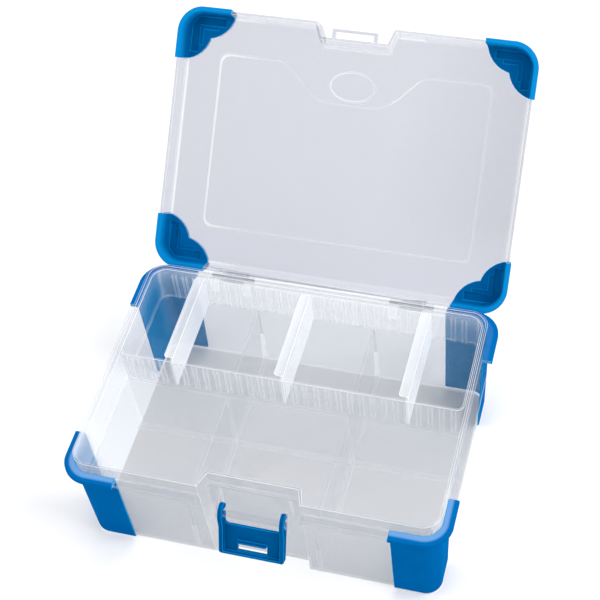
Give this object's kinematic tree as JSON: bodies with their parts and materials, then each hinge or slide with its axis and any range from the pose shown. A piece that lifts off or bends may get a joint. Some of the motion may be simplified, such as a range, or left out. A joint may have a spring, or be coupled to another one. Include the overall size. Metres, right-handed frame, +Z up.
{
  "type": "fishing tackle box",
  "caption": "Translucent tackle box with hinged lid, swing latch, lift-out divided tray and rounded corner guards.",
  "frame": {"origin": "centre of the flat underside of the base", "axes": "+X to the right across the box, +Y from the latch side to the hinge side, +Z up out of the underside"},
  "size_m": [0.27, 0.3539, 0.2156],
  "materials": {
    "clear_plastic": "translucent polypropylene, faint moulded haze",
    "blue_plastic": "satin moulded polypropylene",
    "pin_steel": "drawn wire"
  },
  "bodies": {
    "base": {"base_box": "clear_plastic", "base_guard_front_left": "blue_plastic", "base_guard_front_right": "blue_plastic", "base_guard_back_left": "blue_plastic", "base_guard_back_right": "blue_plastic", "hinge_pin_left": "pin_steel", "hinge_pin_right": "pin_steel"},
    "lid": {"lid_shell": "clear_plastic", "lid_guard_front_left": "blue_plastic", "lid_guard_front_right": "blue_plastic", "lid_guard_back_left": "blue_plastic", "lid_guard_back_right": "blue_plastic"},
    "latch": {"front_latch": "blue_plastic"},
    "tray": {"lift_out_tray": "clear_plastic"},
    "divider_left": {"tray_divider_left": "clear_plastic"},
    "divider_centre": {"tray_divider_centre": "clear_plastic"},
    "divider_right": {"tray_divider_right": "clear_plastic"}
  },
  "joints": [
    {"name": "lid_hinge", "type": "hinge", "parent": "base", "child": "lid", "pos_m": [0, 0.0989, 0.0776], "axis": [-1, 0, 0], "range_deg": [-133.9, 0]},
    {"name": "latch_pivot", "type": "hinge", "parent": "base", "child": "latch", "pos_m": [0, -0.0908, 0.0648], "axis": [1, 0, 0], "range_deg": [-155.8, 20]},
    {"name": "tray_lift", "type": "slide", "parent": "base", "child": "tray", "axis": [0, 0, 1], "range_m": [0, 0.09]},
    {"name": "divider_left_lift", "type": "slide", "parent": "tray", "child": "divider_left", "axis": [0, 0, 1], "range_m": [0, 0.04]},
    {"name": "divider_centre_lift", "type": "slide", "parent": "tray", "child": "divider_centre", "axis": [0, 0, 1], "range_m": [0, 0.04]},
    {"name": "divider_right_lift", "type": "slide", "parent": "tray", "child": "divider_right", "axis": [0, 0, 1], "range_m": [0, 0.04]}
  ]
}
